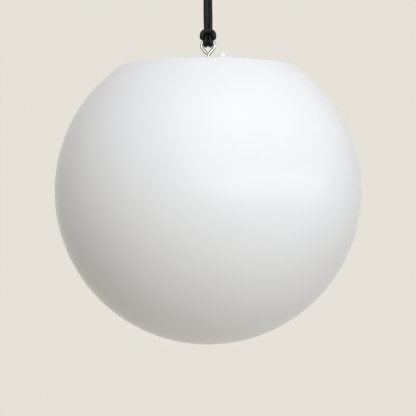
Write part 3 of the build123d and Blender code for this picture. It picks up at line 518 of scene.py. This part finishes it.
def on_run(low, high, height):
    """The point at a height on the run between two points."""
    return low + (high - low) * ((height - low.z) / (high.z - low.z))


join_z = EYE_TOP_Z + HITCH_JOIN
spread_z = EYE_TOP_Z + STRAND_SPREAD
near_hook_z = HOOK_SEAT_Z - NEAR_HOOK
left_join = on_run(left_hitch[0], left_bight, join_z)
right_join = on_run(right_hitch[0], right_bight, join_z) + RIGHT_JOIN_MOVE
strand_route = [
    left_join,
    on_run(left_hitch[0], left_bight, spread_z) + LEFT_MOVE,
    on_run(left_hitch[0], left_bight, near_hook_z) + LEFT_MOVE,
    left_bight - across * BIGHT_EASE,
    left_crown,
    right_crown,
    right_bight + across * BIGHT_EASE,
    on_run(right_hitch[0], right_bight, near_hook_z) + RIGHT_HOOK_MOVE,
    on_run(right_hitch[0], right_bight, spread_z) + RIGHT_SPREAD_MOVE,
    right_join,
]
hitch_route = [left_join, *left_hitch, *reversed(right_hitch), right_join]

BRAID_CARRIERS = 8
BRAID_PITCH = 15.0 * MM
BRAID_RELIEF = 0.16 * MM
STRAND_RESOLUTION = 64
HITCH_RESOLUTION = 28
CORD_SEGMENTS = 48


def braid_radius_at(length, angle):
    """The radius of a braided cord: two sets of carriers that pass over and under each other."""
    turn = 2 * math.pi * length / BRAID_PITCH
    first = BRAID_CARRIERS * (angle - turn)
    second = BRAID_CARRIERS * (angle + turn)
    over = math.cos(first / 2) * math.cos(second / 2)
    height_first = (0.5 + 0.5 * math.cos(first)) * (0.5 + 0.5 * over)
    height_second = (0.5 + 0.5 * math.cos(second)) * (0.5 - 0.5 * over)
    return CORD / 2 + BRAID_RELIEF * (max(height_first, height_second) - 0.5)


strand_path = spline_points(strand_route, STRAND_RESOLUTION)
hitch_path = spline_points(hitch_route, HITCH_RESOLUTION)
cord_strands = add_object("cord_loop", *tube(strand_path, CORD_SEGMENTS, braid_radius_at))
stands_for(cord_strands, "cord", "cord_strands")
cord_hitch = add_object("cord_girth_hitch", *tube(hitch_path, CORD_SEGMENTS, braid_radius_at))
stands_for(cord_hitch, "cord", "cord_hitch")

# Eye bolt: the same bent wire in fine steps, with a cut thread on its shank and chamfered ends
THREAD_PITCH = 0.6 * MM
THREAD_DEPTH = 0.22 * MM
THREAD_END = 0.2 * MM
EYE_CHAMFER = 0.3 * MM
EYE_CHAMFER_SLOPE = 0.8
SHANK_STEPS = 320
EYE_BEND_STEPS = 8
EYE_RING_STEPS = 72
CUT_STEPS = 6
EYE_SEGMENTS = 32
eye_centre_z = EYE_TOP_Z - EYE_RADIUS
eye_neck_z = eye_centre_z - EYE_RADIUS / math.sin(EYE_NECK)
shank_top_z = eye_neck_z - EYE_BEND * math.tan(EYE_NECK / 2)
thread_length = shank_top_z - THREAD_END - EYE_END_Z
neck_degrees = math.degrees(EYE_NECK)
limbs_apart = 2 * EYE_NECK
cut_room = (EYE_WIRE / 2 * (1 + math.cos(limbs_apart)) + EYE_END_GAP) / math.sin(limbs_apart)
cut_end = (-cut_room * math.sin(EYE_NECK), eye_neck_z + cut_room * math.cos(EYE_NECK))
eye_line = steel_run((0, EYE_END_Z), (0, shank_top_z), SHANK_STEPS)[:-1]
eye_line += arc((EYE_BEND, shank_top_z), EYE_BEND, 180, 180 - neck_degrees, EYE_BEND_STEPS)
eye_line += arc((0, eye_centre_z), EYE_RADIUS, -neck_degrees, 180 + neck_degrees, EYE_RING_STEPS)
eye_line += steel_run(eye_line[-1], cut_end, CUT_STEPS)[1:]
eye_path = [Vector((x, 0, z)) for x, z in eye_line]
eye_length = path_length(eye_path)


def eye_radius_at(length, angle):
    """The eye bolt's radius at a length along its wire, from the shank's end."""
    radius = EYE_WIRE / 2
    to_end = min(length, eye_length - length)
    if to_end < EYE_CHAMFER:
        radius -= (EYE_CHAMFER - to_end) * EYE_CHAMFER_SLOPE
    if length < thread_length:
        radius -= THREAD_DEPTH * thread_fall(length, angle, THREAD_PITCH)
    return radius


eye = add_object("wire_eye", *tube(eye_path, EYE_SEGMENTS, eye_radius_at))
stands_for(eye, "lamp", "eye_bolt")

# Nut under the eye: both faces chamfered to a circle, and its bore countersunk
NUT_SEGMENTS = 72
NUT_SIDE = math.pi / 3
NUT_CHAMFER = math.radians(30.0)
NUT_FACE_SHARE = 0.97
NUT_COUNTERSINK = 0.35 * MM
NUT_SHARP = math.radians(25.0)
nut_low, nut_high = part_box("eye_nut")
nut_half = (nut_high.y - nut_low.y) / 2
nut_face = nut_half * NUT_FACE_SHARE
nut_bore = EYE_WIRE / 2
nut_rows = []
for step in range(NUT_SEGMENTS):
    angle = 2 * math.pi * step / NUT_SEGMENTS
    from_flat = (angle + NUT_SIDE / 2) % NUT_SIDE - NUT_SIDE / 2
    flat = nut_half / math.cos(from_flat)
    drop = (flat - nut_face) * math.tan(NUT_CHAMFER)
    nut_rows.append([
        (nut_bore + NUT_COUNTERSINK, nut_high.z),
        (nut_face, nut_high.z),
        (flat, nut_high.z - drop),
        (flat, nut_low.z + drop),
        (nut_face, nut_low.z),
        (nut_bore + NUT_COUNTERSINK, nut_low.z),
        (nut_bore, nut_low.z + NUT_COUNTERSINK),
        (nut_bore, nut_high.z - NUT_COUNTERSINK),
    ])
eye_nut = merged(add_object("eye_nut_chamfered", *turned(nut_rows)))
eye_nut.data.set_sharp_from_angle(angle=NUT_SHARP)
stands_for(eye_nut, "lamp", "eye_nut")

# Button: a plunger with a rounded edge and a shallow dish
button_low, button_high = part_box("button")
button_x = (button_low.x + button_high.x) / 2
button_y = (button_low.y + button_high.y) / 2
BUTTON_RADIUS = 3.35 * MM
BUTTON_EDGE = 1.0 * MM
BUTTON_FLANGE_HEIGHT = 1.2 * MM
BUTTON_DISH = 0.35 * MM
BUTTON_EDGE_STEPS = 10
BUTTON_DISH_STEPS = 8
BUTTON_SEGMENTS = 64
BUTTON_SHARP = math.radians(50.0)
flange_radius = (button_high.x - button_low.x) / 2
flange_top_z = button_low.z + BUTTON_FLANGE_HEIGHT
dish_radius = BUTTON_RADIUS - BUTTON_EDGE
plunger = [
    (0, button_low.z),
    (flange_radius, button_low.z),
    (flange_radius, flange_top_z),
    (BUTTON_RADIUS, flange_top_z),
]
plunger += arc((dish_radius, button_high.z - BUTTON_EDGE), BUTTON_EDGE, 0, 90, BUTTON_EDGE_STEPS)
for step in range(1, BUTTON_DISH_STEPS + 1):
    share = 1 - step / BUTTON_DISH_STEPS
    plunger.append((dish_radius * share, button_high.z - BUTTON_DISH * (1 - share**2)))
button = merged(add_object("button_plunger", *revolved(plunger, BUTTON_SEGMENTS, (button_x, button_y))))
button.data.set_sharp_from_angle(angle=BUTTON_SHARP)
stands_for(button, "button", "button")

# Ceiling hook: bent wire, a rounded collar and a coarse wood-screw thread with a point
HOOK_TURN = 45.0
HOOK_TIP = 0.8 * MM
SCREW_PITCH = 1.8 * MM
SCREW_DEPTH = 0.45 * MM
SCREW_CREST = 2.6
SCREW_FADE = 2.0 * MM
POINT_SHARE = 0.2
SCREW_STEPS = 340
NECK_STEPS = 10
HOOK_BEND_STEPS = 8
HOOK_RING_STEPS = 80
HOOK_SEGMENTS = 32
screw_top_z = HOOK_SCREW + HOOK_POINT
neck_low_z = -HOOK_NECK + HOOK_BEND * math.tan(math.radians(HOOK_TURN / 2))
mouth_degrees = math.degrees(HOOK_MOUTH)
hook_line = steel_run((0, screw_top_z), (0, 0), SCREW_STEPS)[:-1]
hook_line += steel_run((0, 0), (0, neck_low_z), NECK_STEPS)[:-1]
hook_line += arc((-HOOK_BEND, neck_low_z), HOOK_BEND, 0, -HOOK_TURN, HOOK_BEND_STEPS)
hook_line += arc((0, HOOK_Z), HOOK_RADIUS, 180 - HOOK_TURN, 360 + mouth_degrees, HOOK_RING_STEPS)
hook_side = Vector((math.cos(HOOK_ANGLE), math.sin(HOOK_ANGLE), 0))
hook_path = [hook_side * aside + up * z for aside, z in hook_line]
hook_length = path_length(hook_path)


def hook_radius_at(length, angle):
    """The hook's radius at a length along its wire, from the screw's point."""
    radius = HOOK_WIRE / 2
    to_tip = hook_length - length
    if to_tip < HOOK_TIP:
        radius -= HOOK_TIP - math.sqrt(max(0.0, HOOK_TIP**2 - (HOOK_TIP - to_tip) ** 2))
    if length < screw_top_z:
        crest = max(0.0, 1 - thread_fall(length, angle, SCREW_PITCH) * SCREW_CREST)
        fade = min(1.0, (screw_top_z - length) / SCREW_FADE)
        radius -= SCREW_DEPTH * (1 - crest) * fade
    if length < HOOK_POINT:
        radius *= POINT_SHARE + (1 - POINT_SHARE) * length / HOOK_POINT
    return radius


hook = add_object("screw_hook", *tube(hook_path, HOOK_SEGMENTS, hook_radius_at))
stands_for(hook, "hook", "ceiling_hook")
COLLAR_THICKNESS = 2.0 * MM
COLLAR_EDGE = 0.7 * MM
COLLAR_EDGE_STEPS = 6
COLLAR_SEGMENTS = 64
COLLAR_SHARP = math.radians(40.0)
collar_edge_centre = (HOOK_COLLAR - COLLAR_EDGE, -COLLAR_THICKNESS + COLLAR_EDGE)
collar = [(0, 0), (HOOK_COLLAR - COLLAR_EDGE / 2, 0)]
collar += arc(collar_edge_centre, COLLAR_EDGE, 0, -90, COLLAR_EDGE_STEPS)
collar += [(0, -COLLAR_THICKNESS)]
hook_collar = merged(add_object("hook_collar", *revolved(collar, COLLAR_SEGMENTS)))
hook_collar.data.set_sharp_from_angle(angle=COLLAR_SHARP)
dress(hook_collar, "hook_steel")
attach(hook_collar, "hook")

# Rounded copies of the pieces that show on the flat top, with the width of their rounding
for node, body, width in (
    ("cover_plate", "lamp", 0.35 * MM),
    ("cover_screws", "lamp", 0.12 * MM),
    ("switch_body", "lamp", 0.2 * MM),
    ("charge_flap", "charge_flap", 0.3 * MM),
    ("eye_washer", "lamp", 0.12 * MM),
    ("eye_seal", "lamp", 0.2 * MM),
    ("hinge_pin", "lamp", 0.1 * MM),
):
    stands_for(bevelled(node, width), body, node)

# Stage: a plain pale floor far below, and the plain backdrop colour for the camera
BACKDROP = (0.791, 0.761, 0.694)
AMBIENT = (0.308, 0.298, 0.280)
FLOOR_Z = -2.4
FLOOR_RADIUS = 8.0
FLOOR_SEGMENTS = 96
FLOOR_ROUGHNESS = 0.8
FLOOR_GLOW = 0.6
floor_rim = [(x, y, FLOOR_Z) for x, y in arc((0, 0), FLOOR_RADIUS, 0, 360, FLOOR_SEGMENTS)[1:]]
floor = add_object("floor", floor_rim, [tuple(range(len(floor_rim)))])
floor_material = new_material("pale_floor", BACKDROP, FLOOR_ROUGHNESS)
floor.data.materials.append(floor_material)


def seen_rays(tree):
    """A value of 1 for the rays that show the backdrop itself, and 0 for those that carry its light."""
    light_path = tree.nodes.new("ShaderNodeLightPath")
    direct = tree.nodes.new("ShaderNodeMath")
    direct.operation = "MAXIMUM"
    every = tree.nodes.new("ShaderNodeMath")
    every.operation = "MAXIMUM"
    tree.links.new(light_path.outputs["Is Camera Ray"], direct.inputs[0])
    tree.links.new(light_path.outputs["Is Glossy Ray"], direct.inputs[1])
    tree.links.new(direct.outputs[0], every.inputs[0])
    tree.links.new(light_path.outputs["Is Transmission Ray"], every.inputs[1])
    return every.outputs[0]


floor_tree = floor_material.node_tree
floor_inputs = shader_of(floor_material).inputs
glow = floor_tree.nodes.new("ShaderNodeMath")
glow.operation = "MULTIPLY"
glow.inputs[1].default_value = FLOOR_GLOW
floor_tree.links.new(seen_rays(floor_tree), glow.inputs[0])
floor_inputs["Emission Color"].default_value = (*BACKDROP, 1.0)
floor_tree.links.new(glow.outputs[0], floor_inputs["Emission Strength"])

world = bpy.data.worlds.new("studio")
bpy.context.scene.world = world
world.use_nodes = True
world_tree = world.node_tree
world_tree.nodes.clear()
shown = world_tree.nodes.new("ShaderNodeBackground")
shown.inputs["Color"].default_value = (*BACKDROP, 1.0)
ambient = world_tree.nodes.new("ShaderNodeBackground")
ambient.inputs["Color"].default_value = (*AMBIENT, 1.0)
choose = world_tree.nodes.new("ShaderNodeMixShader")
world_tree.links.new(seen_rays(world_tree), choose.inputs["Fac"])
world_tree.links.new(ambient.outputs[0], choose.inputs[1])
world_tree.links.new(shown.outputs[0], choose.inputs[2])
output = world_tree.nodes.new("ShaderNodeOutputWorld")
world_tree.links.new(choose.outputs[0], output.inputs["Surface"])

# Lights: soft boxes at one distance, with sizes in metres and powers in watts
LIGHT_DISTANCE = 2.0


def softbox(name, azimuth, elevation, width, height, power, color, gloss=True, diffuse=True):
    """An area lamp aimed at the globe's middle, azimuth to the camera's right, in degrees."""
    lamp = bpy.data.lights.new(name, "AREA")
    lamp.shape = "RECTANGLE"
    lamp.size = width
    lamp.size_y = height
    lamp.energy = power
    lamp.color = color
    holder = bpy.data.objects.new(name, lamp)
    bpy.context.scene.collection.objects.link(holder)
    turn = math.radians(azimuth)
    rise = math.radians(elevation)
    level = math.cos(rise)
    away = Vector((math.sin(turn) * level, -math.cos(turn) * level, math.sin(rise)))
    holder.location = Vector((0, 0, GLOBE_Z)) + away * LIGHT_DISTANCE
    holder.rotation_euler = away.to_track_quat("Z", "Y").to_euler()
    holder.visible_glossy = gloss
    holder.visible_diffuse = diffuse


softbox(
    "key",
    azimuth=4,
    elevation=36,
    width=1.8,
    height=2.8,
    power=34.2,
    color=(0.924, 0.944, 1.0),
)
softbox(
    "fill",
    azimuth=68,
    elevation=2,
    width=3.6,
    height=3.6,
    power=19.3,
    color=(0.81, 0.82, 1.0),
    gloss=False,
)
softbox(
    "side",
    azimuth=40,
    elevation=0,
    width=2.0,
    height=2.4,
    power=4.8,
    color=(0.91, 1.0, 0.74),
    gloss=False,
)
softbox(
    "back",
    azimuth=180,
    elevation=30,
    width=1.6,
    height=1.6,
    power=7.2,
    color=(1.0, 1.0, 1.0),
    gloss=False,
)
softbox(
    "horizon",
    azimuth=45,
    elevation=5,
    width=4.4,
    height=0.6,
    power=24.0,
    color=(0.92, 0.94, 1.0),
    diffuse=False,
)

# Camera: level with the globe's middle, at the photograph's distance
FRAME_PIXELS = 416
FOCAL_PIXELS = 990.7
SENSOR_WIDTH = 36.0
FRAME_SHIFT = -0.0402
CAMERA_DISTANCE = 0.981
camera_data = bpy.data.cameras.new("camera")
camera_data.sensor_width = SENSOR_WIDTH
camera_data.lens = SENSOR_WIDTH * FOCAL_PIXELS / FRAME_PIXELS
camera_data.shift_y = FRAME_SHIFT
camera = bpy.data.objects.new("camera", camera_data)
camera.location = (0.0, -CAMERA_DISTANCE, GLOBE_Z)
camera.rotation_euler = (math.radians(90), 0, 0)
bpy.context.scene.collection.objects.link(camera)
bpy.context.scene.camera = camera
bpy.context.scene.view_settings.view_transform = "Standard"
